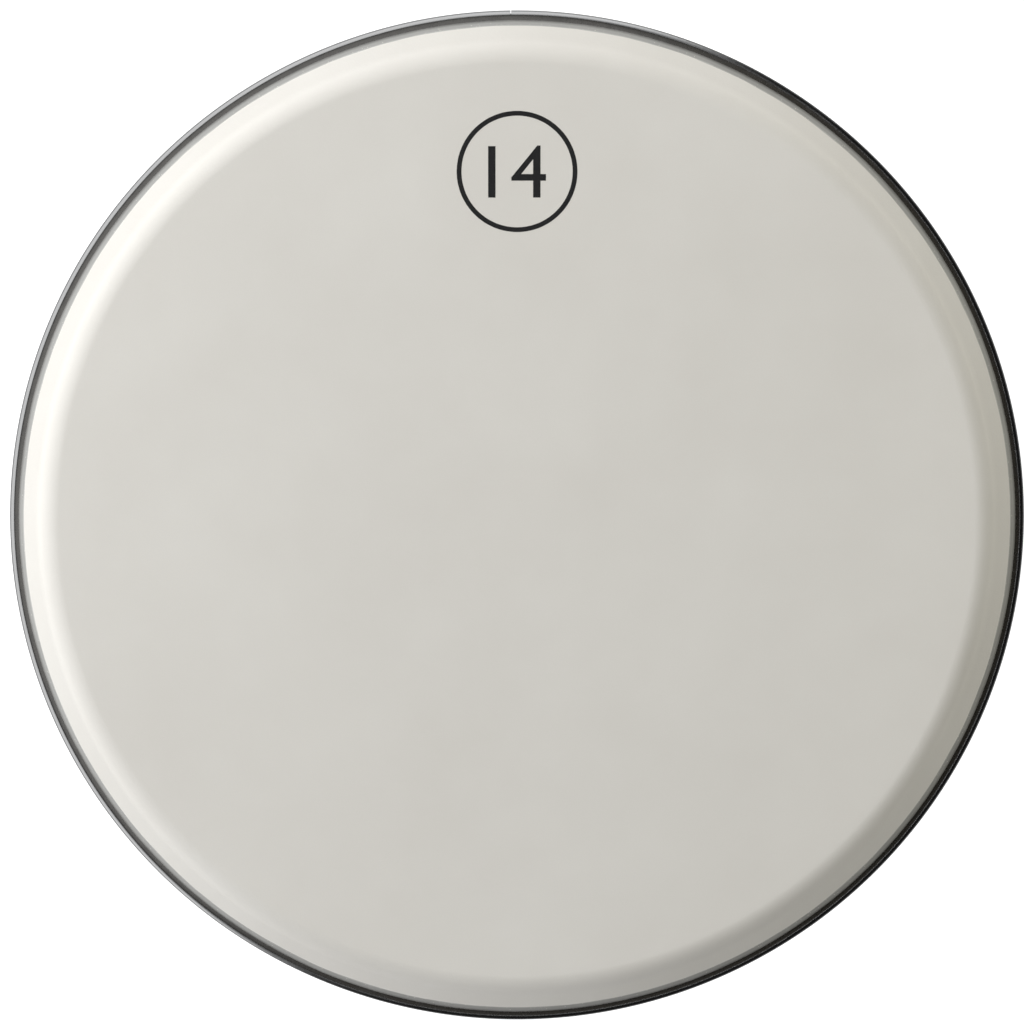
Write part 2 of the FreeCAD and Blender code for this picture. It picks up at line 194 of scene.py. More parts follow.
class CoatingSettings(PropertyGroup):
    """Extent, grain and colour of the sprayed coating."""

    top: length("Top", "Height of the coated playing face", COATING_TOP)
    edge_radius: length("Edge radius", "Radius where the coating stops on the collar", COATING_EDGE)
    edge_wander: length("Edge wander", "How far the coating's edge strays to either side", 0.00022)
    grain: length("Grain", "Size of the finest grain", 0.00038)
    pebble: length("Pebble", "Size of the larger sprayed lumps", 0.0009)
    drift: length("Drift", "Size of the broad cloudy patches", 0.045)
    relief: length("Relief", "Height of the grain", 0.00005)
    pale: colour("Pale", "Lightest tone of the coating", (0.700, 0.680, 0.642))
    shaded: colour("Shaded", "Darkest tone of the coating", (0.660, 0.637, 0.598))
    drops: IntProperty(name="Drops", description="Stray drops beyond the edge", default=900, min=0)
    drop_reach: length("Drop reach", "How far stray drops land beyond the edge", 0.0014)
    drop_size: length("Drop size", "Radius of the largest stray drop", 0.00016)


class ResinSettings(PropertyGroup):
    """Level and colour of the resin in the channel."""

    drop: length("Drop", "Depth of the resin's surface under the lip's top, at the lip", 0.0003)
    climb: length("Climb", "How far the resin creeps up the film above its level at the lip", 0.0004)
    dip: length("Dip", "How far the surface sinks between film and lip", 0.00011)
    # Both resin colours are darkened to near black as painted shade of the groove; the swirls between them
    # are the resin's own cloudiness.
    clear: colour("Clear", "Colour of the clean resin", (0.05, 0.046, 0.040))
    cloudy: colour("Cloudy", "Colour of the cloudy resin", (0.035, 0.032, 0.028))
    swirl: length("Swirl", "Size of the cloudy swirls", 0.0035)
    bubbles: amount("Bubbles", "Cells of the bubble pattern in a metre", 1400.0)
    pit_depth: length("Pit depth", "Depth of the burst bubbles", 0.00006)


class MarkSettings(PropertyGroup):
    """The printed size of the drum, in inches, inside a plain ring."""

    number: StringProperty(name="Number", description="Diameter of the drum in inches", default="14")
    centre: pair("Centre", "Middle of the print on the face", (0.0, 0.1262))
    digit_height: length("Digit height", "Height of the digits", 0.0185)
    ring_radius: length("Ring radius", "Outer radius of the ring", 0.0215)
    ring_width: length("Ring width", "Width of the ring's line", 0.0017)
    thickness: length("Thickness", "Thickness of the ink", 0.00002)
    ink: colour("Ink", "Colour of the ink", (0.008, 0.008, 0.009))
    thin_ink: colour("Thin ink", "Colour of the ink where the grain shows through", (0.03, 0.029, 0.028))


class StageSettings(PropertyGroup):
    """Camera, floor and lights."""

    distance: length("Distance", "Distance from the camera to the hoop", 1.5)
    tilt: angle("Tilt", "How far the camera leans from straight above towards the seam", 5.5)
    aim: pair("Aim", "Point that the middle of the picture shows", (-0.0018, 0.0033))
    view_width: length("View width", "Width that the picture spans at the hoop", 0.37220)
    floor_size: length("Floor size", "Side of the square floor", 24.0)
    floor_glow: amount("Floor glow", "Light that the floor gives off", 1.1)
    floor_colour: colour("Floor colour", "Colour of the floor", (0.25, 0.25, 0.25))
    lit_side: amount("Lit side", "Brightness of the room's lit side", 0.72)
    dim_side: amount("Dim side", "Brightness of the room's other side", 0.008)
    lit_direction: angle("Lit direction", "Where the lit side lies, from +X towards +Y", 155.0)
    lit_ground: amount("Lit ground", "Brightness under the lit side, as shiny pieces mirror it", 0.32)
    dim_ground: amount("Dim ground", "Brightness under the other side, as shiny pieces mirror it", 0.14)
    lamp_distance: length("Lamp distance", "Distance from the lights to the head", 1.1)
    left_direction: angle("Left direction", "Where the left light stands, from +X towards +Y", 177.0)
    left_rise: angle("Left rise", "How high the left light stands", 37.0)
    left_size: pair("Left size", "Width and height of the left light", (1.9, 0.7))
    left_power: amount("Left power", "Watts of the wide light at the left", 11.4)
    left_tint: colour("Left tint", "Colour of the left light", (0.98, 0.995, 1.0))
    low_size: pair("Low size", "Width and height of each of the two low lights", (0.8, 0.8))
    upper_direction: angle("Upper direction", "Where the upper light stands, from +X towards +Y", 105.0)
    upper_rise: angle("Upper rise", "How high the upper light stands", 24.0)
    upper_power: amount("Upper power", "Watts of the low light beyond the seam", 3.5)
    upper_tint: colour("Upper tint", "Colour of the upper light", (1.0, 1.0, 1.0))
    right_direction: angle("Right direction", "Where the right light stands, from +X towards +Y", 12.0)
    right_rise: angle("Right rise", "How high the right light stands", 22.0)
    right_power: amount("Right power", "Watts of the low light at the right", 3.5)
    right_tint: colour("Right tint", "Colour of the right light", (1.0, 0.975, 0.81))


class DrumHeadSettings(PropertyGroup):
    """All settings of the drum head and its studio."""

    hoop: PointerProperty(type=HoopSettings)
    film: PointerProperty(type=FilmSettings)
    coating: PointerProperty(type=CoatingSettings)
    resin: PointerProperty(type=ResinSettings)
    mark: PointerProperty(type=MarkSettings)
    stage: PointerProperty(type=StageSettings)


# Sections, as (radius, height) points


def arc_points(centre, radius, first, last, count):
    """Points along an arc from one angle to another, both ends included."""
    points = []
    for step in range(count + 1):
        turn = first + (last - first) * step / count
        points.append((centre[0] + radius * math.cos(turn), centre[1] + radius * math.sin(turn)))
    return points


def along(start, direction, distance):
    return (start[0] + math.cos(direction) * distance, start[1] + math.sin(direction) * distance)


def collar_layout(film, hoop):
    """Radius of the flat face and the centres of the arcs."""
    quarter = math.pi / 2
    steep, gentle = film.shoulder_angle, film.collar_angle
    fall = film.face_height - hoop.height - film.exit_rise
    fall -= film.shoulder_radius * (1 - math.cos(steep))
    fall -= film.flare_radius * (math.cos(gentle) - math.cos(steep))
    fall -= film.turn_radius * math.cos(gentle)
    straight = fall / math.sin(gentle)
    turn_centre = (film.tail_radius - film.turn_radius, hoop.height + film.exit_rise)
    collar_foot = along(turn_centre, quarter - gentle, film.turn_radius)
    collar_top = along(collar_foot, math.pi - gentle, straight)
    flare_centre = along(collar_top, quarter - gentle, film.flare_radius)
    reach = film.flare_radius + film.shoulder_radius
    shoulder_centre = along(flare_centre, -quarter - steep, reach)
    return {
        "flat": shoulder_centre[0],
        "shoulder": shoulder_centre,
        "flare": flare_centre,
        "turn": turn_centre,
    }


def dome_points(film, hoop, depth):
    """Face, shoulder and flare of a surface that lies some depth under the top film's outer face."""
    layout = collar_layout(film, hoop)
    quarter = math.pi / 2
    steep, gentle = film.shoulder_angle, film.collar_angle
    points = [(layout["flat"] * share, film.face_height - depth) for share in FACE_RINGS]
    bend = film.shoulder_radius - depth
    points += arc_points(layout["shoulder"], bend, quarter, quarter - steep, SHOULDER_STEPS)
    hollow = film.flare_radius + depth
    flare = arc_points(layout["flare"], hollow, -quarter - steep, -quarter - gentle, FLARE_STEPS)
    return points + flare[1:]


def tail_points(film, hoop, depth):
    """Foot of the collar, the turn into the channel and the upright tail."""
    layout = collar_layout(film, hoop)
    first = math.pi / 2 - film.collar_angle
    points = arc_points(layout["turn"], film.turn_radius - depth, first, 0.0, TURN_STEPS)
    return points + [(film.tail_radius - depth, film.tail_end)]


def ply_section(film, hoop, depth):
    """Section of one film from the axis, down the outer side and back along the inner side."""
    outer = dome_points(film, hoop, depth) + tail_points(film, hoop, depth)
    under = depth + film.thickness
    inner = dome_points(film, hoop, under) + tail_points(film, hoop, under)
    return outer + inner[::-1]


def collar_point(film, hoop, radius):
    """Point of the straight collar's outer face at a given radius."""
    foot = tail_points(film, hoop, 0.0)[0]
    return (radius, foot[1] + (foot[0] - radius) * math.tan(film.collar_angle))


def coating_section(coating, film, hoop):
    """Section of the coating, and how far each of its points follows the wandering edge."""
    coat = coating.top - film.face_height
    end = collar_point(film, hoop, coating.edge_radius)
    outwards = math.pi / 2 - film.collar_angle
    back = math.pi - film.collar_angle
    edge = [along(along(end, back, run * coat), outwards, up * coat) for run, up in EDGE_PROFILE]
    full_run = EDGE_PROFILE[-1][0] * coat
    inner_edge = [along(end, back, full_run / 2), along(end, back, full_run)]
    outer = dome_points(film, hoop, -coat)
    inner = dome_points(film, hoop, 0.0)
    section = outer + edge[::-1] + inner_edge + inner[::-1]
    reach = end[0] - inner[-1][0]
    follow = []
    for point in section:
        share = (point[0] - inner[-1][0]) / reach
        follow.append(min(max((share - FOLLOW_FROM) / (1 - FOLLOW_FROM), 0.0), 1.0))
    return section, follow


def hoop_section(hoop):
    """Section of the channel: foot, outer wall, rolled lip, trough and inner wall."""
    quarter = math.pi / 2
    inside = hoop.bore_radius + hoop.inner_wall
    outside = hoop.rim_radius - hoop.outer_wall
    nose = outside - hoop.lip_overhang
    under_lip = hoop.height - hoop.lip_depth
    half_wall = hoop.inner_wall / 2
    spring = hoop.height - hoop.inner_drop - half_wall
    foot, crown, edge = hoop.foot_round, hoop.lip_round, hoop.lip_edge
    points = arc_points((hoop.rim_radius - foot, foot), foot, -quarter, 0.0, FOOT_STEPS)
    points += arc_points((hoop.rim_radius - crown, hoop.height - crown), crown, 0.0, quarter, CROWN_STEPS)
    points += arc_points((nose + edge, hoop.height - edge), edge, quarter, math.pi, EDGE_STEPS)
    points += [(nose, under_lip), (outside, under_lip), (outside, hoop.base), (inside, hoop.base)]
    points += arc_points((hoop.bore_radius + half_wall, spring), half_wall, 0.0, math.pi, WALL_STEPS)
    points += arc_points((hoop.bore_radius + foot, foot), foot, math.pi, 3 * quarter, FOOT_STEPS)
    return points


def resin_section(resin, film, hoop):
    """Section of the resin, which wraps the films' tails, climbs the film and sinks near the lip."""
    inside = hoop.bore_radius + hoop.inner_wall
    outside = hoop.rim_radius - hoop.outer_wall
    nose = outside - hoop.lip_overhang
    under_lip = hoop.height - hoop.lip_depth
    level = hoop.height - resin.drop
    spring = hoop.height - hoop.inner_drop - hoop.inner_wall / 2
    tail_inside = film.tail_radius - 2 * film.thickness
    points = [(inside, hoop.base), (outside, hoop.base), (outside, under_lip), (nose, under_lip)]
    for step in range(DIP_STEPS + 1):
        share = step / DIP_STEPS
        radius = nose + (film.tail_radius - nose) * share
        sunk = resin.dip * 4 * share * (1 - share)
        points.append((radius, level + resin.climb * share - sunk))
    points += [(film.tail_radius, film.tail_end), (tail_inside, film.tail_end), (tail_inside, spring)]
    return points + [(inside, spring)]


# Geometry Nodes


def put(tree, kind, inputs=None, **settings):
    """Adds a node, sets its properties and fills or links its inputs, which are named or numbered."""
    node = tree.nodes.new(kind)
    for name, value in settings.items():
        setattr(node, name, value)
    for name, value in (inputs or {}).items():
        if isinstance(value, bpy.types.NodeSocket):
            tree.links.new(value, node.inputs[name])
        else:
            node.inputs[name].default_value = value
    return node


def math_node(tree, operation, *values):
    """The result of one sum on numbers or sockets."""
    return put(tree, "ShaderNodeMath", dict(enumerate(values)), operation=operation).outputs[0]


def whole_number(tree, operation, *values):
    return put(tree, "FunctionNodeIntegerMath", dict(enumerate(values)), operation=operation).outputs[0]


def new_tree(name, sockets):
    """A Geometry Nodes tree with the named inputs, given as (name, socket kind, default)."""
    tree = bpy.data.node_groups.new(name, "GeometryNodeTree")
    tree.interface.new_socket("Geometry", in_out="INPUT", socket_type="NodeSocketGeometry")
    tree.interface.new_socket("Geometry", in_out="OUTPUT", socket_type="NodeSocketGeometry")
    for label, kind, default in sockets:
        socket = tree.interface.new_socket(label, in_out="INPUT", socket_type=kind)
        if default is not None:
            socket.default_value = default
    return tree, tree.nodes.new("NodeGroupInput").outputs


def finish_tree(tree, geometry, material):
    """Ends a tree: makes instances real, sets the material and hands the mesh on."""
    real = put(tree, "GeometryNodeRealizeInstances", {"Geometry": geometry})
    painted = put(tree, "GeometryNodeSetMaterial", {"Geometry": real.outputs[0], "Material": material})
    put(tree, "NodeGroupOutput", {"Geometry": painted.outputs[0]})


def turning_tree():
    """Turns a section about the upright axis; each column of a grid takes the section's points in order."""
    tree, given = new_tree("Turned section", [
        ("Columns", "NodeSocketInt", 360),
        ("Closed", "NodeSocketInt", 0),
        ("Start", "NodeSocketFloat", 0.0),
        ("Sweep", "NodeSocketFloat", math.tau),
        ("Crease", "NodeSocketFloat", math.radians(30)),
        ("Wander", "NodeSocketFloat", 0.0),
        ("Waves", "NodeSocketFloat", 14.0),
        ("Slope", "NodeSocketFloat", 0.0),
        ("Seed", "NodeSocketInt", 0),
        ("Material", "NodeSocketMaterial", None),
    ])
    section = given["Geometry"]
    count = put(tree, "GeometryNodeAttributeDomainSize", {"Geometry": section}).outputs["Point Count"]
    rows = whole_number(tree, "ADD", count, given["Closed"])
    columns = whole_number(tree, "ADD", given["Columns"], 1)
    grid = put(tree, "GeometryNodeMeshGrid", {"Vertices X": columns, "Vertices Y": rows})
    index = put(tree, "GeometryNodeInputIndex").outputs[0]
    column = whole_number(tree, "DIVIDE_FLOOR", index, rows)
    row = whole_number(tree, "MODULO", whole_number(tree, "MODULO", index, rows), count)
    place = put(tree, "GeometryNodeInputPosition").outputs[0]
    point = put(tree, "GeometryNodeSampleIndex", {"Geometry": section, "Value": place, "Index": row},
                data_type="FLOAT_VECTOR").outputs[0]
    follow_name = put(tree, "GeometryNodeInputNamedAttribute", {"Name": "follow"}).outputs[0]
    follow = put(tree, "GeometryNodeSampleIndex", {"Geometry": section, "Value": follow_name, "Index": row},
                 data_type="FLOAT").outputs[0]
    turn = math_node(tree, "MULTIPLY_ADD", math_node(tree, "DIVIDE", column, given["Columns"]),
                     given["Sweep"], given["Start"])
    cosine, sine = math_node(tree, "COSINE", turn), math_node(tree, "SINE", turn)
    around = put(tree, "ShaderNodeCombineXYZ", {"X": cosine, "Y": sine, "Z": given["Seed"]}).outputs[0]
    noise = put(tree, "ShaderNodeTexNoise", {"Vector": around, "Scale": given["Waves"], "Detail": 4.0})
    swing = math_node(tree, "MULTIPLY_ADD", noise.outputs[0], NOISE_GAIN, -NOISE_GAIN / 2)
    stray = math_node(tree, "MULTIPLY", math_node(tree, "MULTIPLY", swing, given["Wander"]), follow)
    parts = put(tree, "ShaderNodeSeparateXYZ", {"Vector": point}).outputs
    radius = math_node(tree, "MULTIPLY_ADD", stray, math_node(tree, "COSINE", given["Slope"]), parts["X"])
    fall = math_node(tree, "MULTIPLY", stray, math_node(tree, "SINE", given["Slope"]))
    height = math_node(tree, "SUBTRACT", parts["Z"], fall)
    turned = put(tree, "ShaderNodeCombineXYZ", {
        "X": math_node(tree, "MULTIPLY", radius, cosine),
        "Y": math_node(tree, "MULTIPLY", radius, sine),
        "Z": height,
    }).outputs[0]
    shaped = put(tree, "GeometryNodeSetPosition", {"Geometry": grid.outputs["Mesh"], "Position": turned})
    joined = put(tree, "GeometryNodeMergeByDistance",
                 {"Geometry": shaped.outputs[0], "Distance": WELD_DISTANCE}).outputs[0]
    bend = put(tree, "GeometryNodeInputMeshEdgeAngle").outputs["Unsigned Angle"]
    sharp = put(tree, "FunctionNodeCompare", {0: bend, 1: given["Crease"]}, operation="GREATER_THAN")
    smooth = put(tree, "GeometryNodeSetShadeSmooth",
                 {"Geometry": joined, "Selection": sharp.outputs[0], "Shade Smooth": False}, domain="EDGE")
    finish_tree(tree, smooth.outputs[0], given["Material"])
    return tree


def drops_tree():
    """Scatters flattened drops on the bare collar, most of them close to the coating's edge."""
    tree, given = new_tree("Stray drops", [
        ("Count", "NodeSocketInt", 100),
        ("Radius", "NodeSocketFloat", 0.1),
        ("Height", "NodeSocketFloat", 0.0),
        ("Slope", "NodeSocketFloat", 0.0),
        ("Reach", "NodeSocketFloat", 0.001),
        ("Crowding", "NodeSocketFloat", 2.2),
        ("Size", "NodeSocketFloat", 0.0001),
        ("Smallest", "NodeSocketFloat", 0.35),
        ("Flatness", "NodeSocketFloat", 0.4),
        ("Seed", "NodeSocketInt", 0),
        ("Material", "NodeSocketMaterial", None),
    ])

    def chance(low, high, offset):
        """A random number for each drop; inputs 2 and 3 are the ends of its range."""
        seed = whole_number(tree, "ADD", given["Seed"], offset)
        ends = {"Seed": seed, 2: low, 3: high}
        return put(tree, "FunctionNodeRandomValue", ends, data_type="FLOAT").outputs[1]

    turn = chance(0.0, math.tau, 0)
    nearness = math_node(tree, "POWER", chance(0.0, 1.0, 1), given["Crowding"])
    away = math_node(tree, "MULTIPLY", nearness, given["Reach"])
    across, down = math_node(tree, "COSINE", given["Slope"]), math_node(tree, "SINE", given["Slope"])
    radius = math_node(tree, "MULTIPLY_ADD", away, across, given["Radius"])
    height = math_node(tree, "SUBTRACT", given["Height"], math_node(tree, "MULTIPLY", away, down))
    cosine, sine = math_node(tree, "COSINE", turn), math_node(tree, "SINE", turn)
    place = put(tree, "ShaderNodeCombineXYZ", {
        "X": math_node(tree, "MULTIPLY", radius, cosine),
        "Y": math_node(tree, "MULTIPLY", radius, sine),
        "Z": height,
    }).outputs[0]
    outwards = put(tree, "ShaderNodeCombineXYZ", {
        "X": math_node(tree, "MULTIPLY", down, cosine),
        "Y": math_node(tree, "MULTIPLY", down, sine),
        "Z": across,
    }).outputs[0]
    points = put(tree, "GeometryNodePoints", {"Count": given["Count"], "Position": place}).outputs[0]
    drop = put(tree, "GeometryNodeMeshIcoSphere", {"Radius": 1.0, "Subdivisions": 2}).outputs["Mesh"]
    squash = put(tree, "ShaderNodeCombineXYZ", {"X": 1.0, "Y": 1.0, "Z": given["Flatness"]}).outputs[0]
    flat = put(tree, "GeometryNodeTransform", {"Geometry": drop, "Scale": squash}).outputs[0]
    lean = put(tree, "FunctionNodeAlignRotationToVector", {"Vector": outwards}, axis="Z").outputs[0]
    share = math_node(tree, "POWER", chance(given["Smallest"], 1.0, 2), 2.0)
    scale = math_node(tree, "MULTIPLY", share, given["Size"])
    placed = put(tree, "GeometryNodeInstanceOnPoints",
                 {"Points": points, "Instance": flat, "Rotation": lean, "Scale": scale}).outputs[0]
    smooth = put(tree, "GeometryNodeSetShadeSmooth", {"Geometry": placed}).outputs[0]
    finish_tree(tree, smooth, given["Material"])
    return tree


def new_object(name, mesh):
    """Adds an object for a piece at the origin."""
    piece = bpy.data.objects.new(name, mesh)
    bpy.context.scene.collection.objects.link(piece)
    return piece


def grow(piece, tree, values):
    """Runs a tree on a piece and keeps the result as its plain mesh."""
    modifier = piece.modifiers.new(tree.name, "NODES")
    modifier.node_group = tree
    names = {item.name: item.identifier for item in tree.interface.items_tree if item.in_out == "INPUT"}
    for name, value in values.items():
        modifier[names[name]] = value
    graph = bpy.context.evaluated_depsgraph_get()
    mesh = bpy.data.meshes.new_from_object(piece.evaluated_get(graph))
    piece.modifiers.remove(modifier)
    old = piece.data
    piece.data = mesh
    mesh.name = piece.name
    bpy.data.meshes.remove(old)
    bpy.data.node_groups.remove(tree)
    if not mesh.polygons:
        raise RuntimeError(f"{piece.name} came out empty")


def close_mesh(piece):
    """Caps open ends and turns all faces outwards."""
    work = bmesh.new()
    work.from_mesh(piece.data)
    rims = [edge for edge in work.edges if edge.is_boundary]
    bmesh.ops.holes_fill(work, edges=rims, sides=0)
    bmesh.ops.recalc_face_normals(work, faces=work.faces)
    if any(not edge.is_manifold for edge in work.edges):
        raise RuntimeError(f"{piece.name} isn't a closed mesh")
    work.to_mesh(piece.data)
    work.free()


def turn_section(name, section, material, follow=None, **values):
    """A piece turned from its section."""
    mesh = bpy.data.meshes.new(name)
    joints = [(index, index + 1) for index in range(len(section) - 1)]
    mesh.from_pydata([(radius, 0.0, height) for radius, height in section], joints, [])
    weights = mesh.attributes.new("follow", "FLOAT", "POINT")
    weights.data.foreach_set("value", follow or [0.0] * len(section))
    piece = new_object(name, mesh)
    grow(piece, turning_tree(), {"Material": material, **values})
    close_mesh(piece)
    return piece


# Materials


def new_material(name):
    """An empty node material with its shader and the object's own coordinates."""
    material = bpy.data.materials.new(name)
    material.use_nodes = True
    tree = material.node_tree
    tree.nodes.clear()
    shader = put(tree, "ShaderNodeBsdfPrincipled")
    put(tree, "ShaderNodeOutputMaterial", {"Surface": shader.outputs[0]})
    place = put(tree, "ShaderNodeTexCoord").outputs["Object"]
    return material, tree, shader.inputs, place


def noise_node(tree, place, size, detail=3.0, roughness=0.5):
    """Noise whose features are about as large as the given size, in metres."""
    return put(tree, "ShaderNodeTexNoise", {
        "Vector": place, "Scale": 1 / size, "Detail": detail, "Roughness": roughness,
    }).outputs[0]


def fade(tree, value, low, high, first, last, **settings):
    """Carries a value's range over to another, and stops at its ends."""
    return put(tree, "ShaderNodeMapRange", {
        "Value": value, "From Min": low, "From Max": high, "To Min": first, "To Max": last,
    }, **settings).outputs[0]


def shade_stops(tree, value, stops):
    """Runs through several colours, given as (place on the ramp, colour) in rising order."""
    ramp = put(tree, "ShaderNodeValToRGB", {"Fac": value})
    elements = ramp.color_ramp.elements
    for place, _ in stops[1:-1]:
        elements.new(place)
    for element, (place, shade) in zip(elements, stops):
        element.position = place
        element.color = (*shade, 1.0)
    return ramp.outputs[0]


def blend_colours(tree, value, first, last, low=NOISE_LOW, high=NOISE_HIGH):
    """Runs from one colour to another as the value goes from low to high."""
    return shade_stops(tree, value, [(low, first), (high, last)])


def relief(tree, height, distance, strength, below=None):
    """A bump of the given height, in metres, on top of another one."""
    inputs = {"Height": height, "Distance": distance, "Strength": strength}
    if below is not None:
        inputs["Normal"] = below
    return put(tree, "ShaderNodeBump", inputs).outputs[0]


def round_coordinates(tree, place):
    """Distance from the axis, height and angle of a point, as three sockets."""
    parts = put(tree, "ShaderNodeSeparateXYZ", {"Vector": place}).outputs
    flat = put(tree, "ShaderNodeCombineXYZ", {"X": parts["X"], "Y": parts["Y"]}).outputs[0]
    radius = put(tree, "ShaderNodeVectorMath", {0: flat}, operation="LENGTH").outputs["Value"]
    turn = math_node(tree, "ARCTAN2", parts["Y"], parts["X"])
    return radius, parts["Z"], turn


def rolled_aluminium(hoop):
    """Bright rolled metal with fine streaks along the ring and a few dull patches."""
    material, tree, shader, place = new_material("rolled_aluminium")
    radius, height, turn = round_coordinates(tree, place)
    drawn_out = math_node(tree, "MULTIPLY", turn, hoop.rim_radius / hoop.stretch)
    along_ring = put(tree, "ShaderNodeCombineXYZ", {"X": radius, "Y": height, "Z": drawn_out}).outputs[0]
    streaks = noise_node(tree, along_ring, hoop.streak, detail=5.0, roughness=0.62)
    bands = noise_node(tree, along_ring, hoop.band, detail=2.0)
    patches = noise_node(tree, place, hoop.patch)
    tone = math_node(tree, "MULTIPLY_ADD", streaks, 0.6, math_node(tree, "MULTIPLY", bands, 0.4))
    tree.links.new(blend_colours(tree, tone, hoop.dull_metal, hoop.metal), shader["Base Color"])
    dullness = math_node(tree, "MULTIPLY_ADD", streaks, 0.5, math_node(tree, "MULTIPLY", patches, 0.5))
    tree.links.new(fade(tree, dullness, NOISE_LOW, NOISE_HIGH, first=0.1, last=0.2), shader["Roughness"])
    tree.links.new(relief(tree, streaks, hoop.streak_relief, strength=0.35), shader["Normal"])
    shader["Metallic"].default_value = 1.0
    return material


def milky_film(film, coating):
    """Smooth milky film, paler where the coating lies behind it, grey where bare with painted shade of the
    gap seen through it, and darker towards the channel as painted shade.
    """
    material, tree, shader, place = new_material("milky_film")
    radius = round_coordinates(tree, place)[0]
    haze = noise_node(tree, place, film.haze)
    stray = film.backing_stray
    edge = math_node(tree, "MULTIPLY_ADD", haze, stray, coating.edge_radius - stray / 2)
    out = math_node(tree, "SUBTRACT", radius, edge)
    bare_width = film.tail_radius - coating.edge_radius
    backing_to_shade = fade(tree, out, -film.backing_fade, bare_width, first=0.0, last=1.0)
    # The ramp runs from the backed film through the bare film, partly painted shade, to painted shade in the
    # channel.
    stops = [(0.0, film.backed), (0.35, film.bare), (0.6, film.bare), (1.0, film.channel_shade)]
    tree.links.new(shade_stops(tree, backing_to_shade, stops), shader["Base Color"])
    tree.links.new(fade(tree, haze, NOISE_LOW, NOISE_HIGH, first=0.12, last=0.22), shader["Roughness"])
    ripples = noise_node(tree, place, film.ripple, detail=2.0)
    tree.links.new(relief(tree, ripples, film.ripple_relief, strength=0.3), shader["Normal"])
    shader["IOR"].default_value = 1.57
    return material


def sprayed_coating(coating):
    """Matt off-white coat with a fine sandy grain, soft lumps and faint cloudy drift."""
    material, tree, shader, place = new_material("sprayed_coating")
    grain = noise_node(tree, place, coating.grain, detail=4.0, roughness=0.6)
    lumps = put(tree, "ShaderNodeTexVoronoi", {"Vector": place, "Scale": 1 / coating.pebble},
                feature="SMOOTH_F1").outputs["Distance"]
    drift = noise_node(tree, place, coating.drift, roughness=0.55)
    tone = math_node(tree, "MULTIPLY_ADD", grain, 0.35, math_node(tree, "MULTIPLY", drift, 0.65))
    tree.links.new(blend_colours(tree, tone, coating.shaded, coating.pale), shader["Base Color"])
    tree.links.new(fade(tree, grain, NOISE_LOW, NOISE_HIGH, first=0.82, last=0.62), shader["Roughness"])
    soft = relief(tree, lumps, coating.relief, strength=0.4)
    tree.links.new(relief(tree, grain, coating.relief, strength=0.5, below=soft), shader["Normal"])
    shader["Specular IOR Level"].default_value = 0.35
    return material


def cast_resin(resin):
    """Shiny resin with cloudy swirls and small burst bubbles, its colour darkened to near black as painted
    shade of the groove.
    """
    material, tree, shader, place = new_material("cast_resin")
    swirl = noise_node(tree, place, resin.swirl, detail=4.0, roughness=0.6)
    cells = put(tree, "ShaderNodeTexVoronoi", {"Vector": place, "Scale": resin.bubbles}).outputs["Distance"]
    pits = fade(tree, cells, low=0.1, high=0.25, first=0.0, last=1.0)
    # Painted shade: the near-black resin colours stand in for the shade in the groove.
    tree.links.new(blend_colours(tree, swirl, resin.cloudy, resin.clear), shader["Base Color"])
    tree.links.new(fade(tree, swirl, NOISE_LOW, NOISE_HIGH, first=0.35, last=0.15), shader["Roughness"])
    tree.links.new(relief(tree, pits, resin.pit_depth, strength=0.4), shader["Normal"])
    shader["IOR"].default_value = 1.6
    shader["Specular IOR Level"].default_value = 1.0
    return material


def printed_ink(mark, coating):
    """Black ink that takes up the grain of the coating and thins out on its peaks."""
    material, tree, shader, place = new_material("printed_ink")
    grain = noise_node(tree, place, coating.grain, detail=4.0, roughness=0.6)
    ink = blend_colours(tree, grain, mark.ink, mark.thin_ink, low=0.52, high=0.72)
    tree.links.new(ink, shader["Base Color"])
    tree.links.new(fade(tree, grain, NOISE_LOW, NOISE_HIGH, first=0.42, last=0.62), shader["Roughness"])
    tree.links.new(relief(tree, grain, coating.relief, strength=0.25), shader["Normal"])
    return material


def pale_floor(stage):
    """Plain floor that glows, so that it looks white and shadows stay faint."""
    material, tree, shader, place = new_material("pale_floor")
    clouds = noise_node(tree, place, size=0.8, detail=2.0)
    lighter = [min(1.0, part * 1.04) for part in stage.floor_colour]
    tree.links.new(blend_colours(tree, clouds, stage.floor_colour, lighter), shader["Base Color"])
    shader["Roughness"].default_value = 0.9
    shader["Emission Color"].default_value = (1.0, 1.0, 1.0, 1.0)
    shader["Emission Strength"].default_value = stage.floor_glow
    return material


# Pieces and stage


def settings(context):
    return context.scene.drum_head


def attach(piece, slot, *nodes):
    """Fixes a piece to the part and hides the solids it stands for."""
    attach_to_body(piece, "root")
    if nodes:
        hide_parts(*nodes)


class DRUMHEAD_OT_hoop(Operator):
    """Turns the rolled aluminium hoop, open at its seam"""

    bl_idname = "drum_head.hoop"
    bl_label = "Hoop"

    def execute(self, context):
        hoop = settings(context).hoop
        gap = hoop.seam_gap / hoop.rim_radius
        piece = turn_section(
            "hoop_ring", hoop_section(hoop), rolled_aluminium(hoop),
            Closed=1, Start=hoop.seam_direction + gap / 2, Sweep=math.tau - gap,
        )
        attach(piece, "hoop_metal", "flesh_hoop")
        return {"FINISHED"}


class DRUMHEAD_OT_films(Operator):
    """Turns the two formed films, one under the other"""

    bl_idname = "drum_head.films"
    bl_label = "Films"

    def execute(self, context):
        parts = settings(context)
        material = milky_film(parts.film, parts.coating)
        for layer, (name, node) in enumerate((("top_film", "top_ply"), ("bottom_film", "bottom_ply"))):
            section = ply_section(parts.film, parts.hoop, layer * parts.film.thickness)
            attach(turn_section(name, section, material), "film", node)
        return {"FINISHED"}


